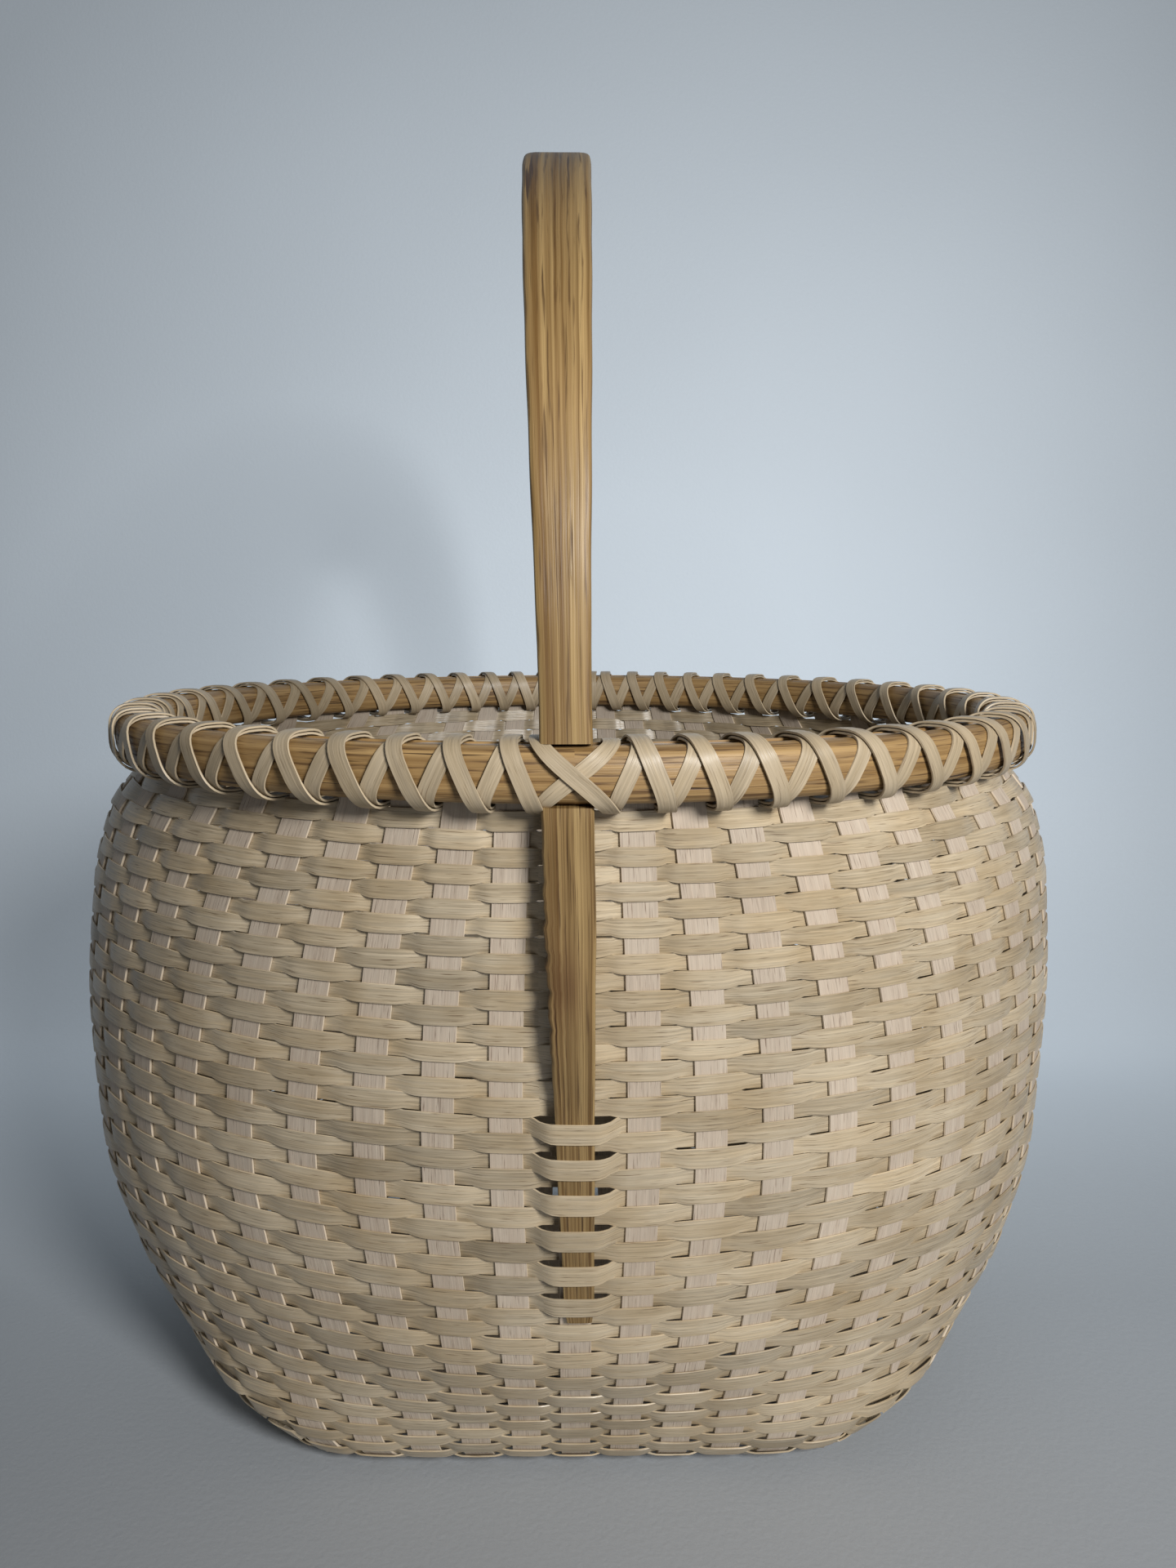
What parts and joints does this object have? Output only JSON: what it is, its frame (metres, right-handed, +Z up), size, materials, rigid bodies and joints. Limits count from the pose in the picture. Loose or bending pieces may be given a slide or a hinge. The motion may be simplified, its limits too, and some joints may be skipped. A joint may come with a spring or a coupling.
{
  "type": "foraging basket",
  "caption": "Round-rimmed woven splint basket on a square plaited base, with lashed oak rim hoops and a fixed carved hoop handle.",
  "frame": {"origin": "middle of the base, on the ground that the basket stands on", "axes": "+Z up; the hoop handle stands in the YZ plane, with -Y the front leg that the picture shows; +X to the viewer's right"},
  "size_m": [0.3916, 0.3616, 0.4728],
  "materials": {
    "splint_weaver": "satin",
    "splint_upright": "satin",
    "hoop_oak": "satin",
    "handle_wood": "satin",
    "lashing": "satin"
  },
  "bodies": {
    "root": {"weaver_wall": "splint_weaver", "top_weaver": "splint_weaver", "outer_rim_hoop": "hoop_oak", "inner_rim_hoop": "hoop_oak", "rim_filler_right": "splint_upright", "rim_filler_left": "splint_upright", "handle": "handle_wood", "lashing_first_pass": "lashing", "lashing_second_pass": "lashing", "crosswise_splint_01": "splint_upright", "crosswise_splint_02": "splint_upright", "crosswise_splint_03": "splint_upright", "crosswise_splint_04": "splint_upright", "crosswise_splint_05": "splint_upright", "crosswise_splint_06": "splint_upright", "crosswise_splint_07": "splint_upright", "crosswise_splint_08": "splint_upright", "crosswise_splint_09": "splint_upright", "crosswise_splint_10": "splint_upright", "crosswise_splint_11": "splint_upright", "lengthwise_splint_01": "splint_upright", "lengthwise_splint_02": "splint_upright", "lengthwise_splint_03": "splint_upright", "lengthwise_splint_04": "splint_upright", "lengthwise_splint_05": "splint_upright", "lengthwise_splint_06": "splint_upright", "lengthwise_splint_07": "splint_upright", "lengthwise_splint_08": "splint_upright", "lengthwise_splint_09": "splint_upright", "lengthwise_splint_10": "splint_upright", "lengthwise_splint_11": "splint_upright", "corner_upright_01": "splint_upright", "corner_upright_02": "splint_upright", "corner_upright_03": "splint_upright", "corner_upright_04": "splint_upright", "corner_upright_05": "splint_upright", "corner_upright_06": "splint_upright", "corner_upright_07": "splint_upright", "corner_upright_08": "splint_upright"}
  },
  "joints": []
}
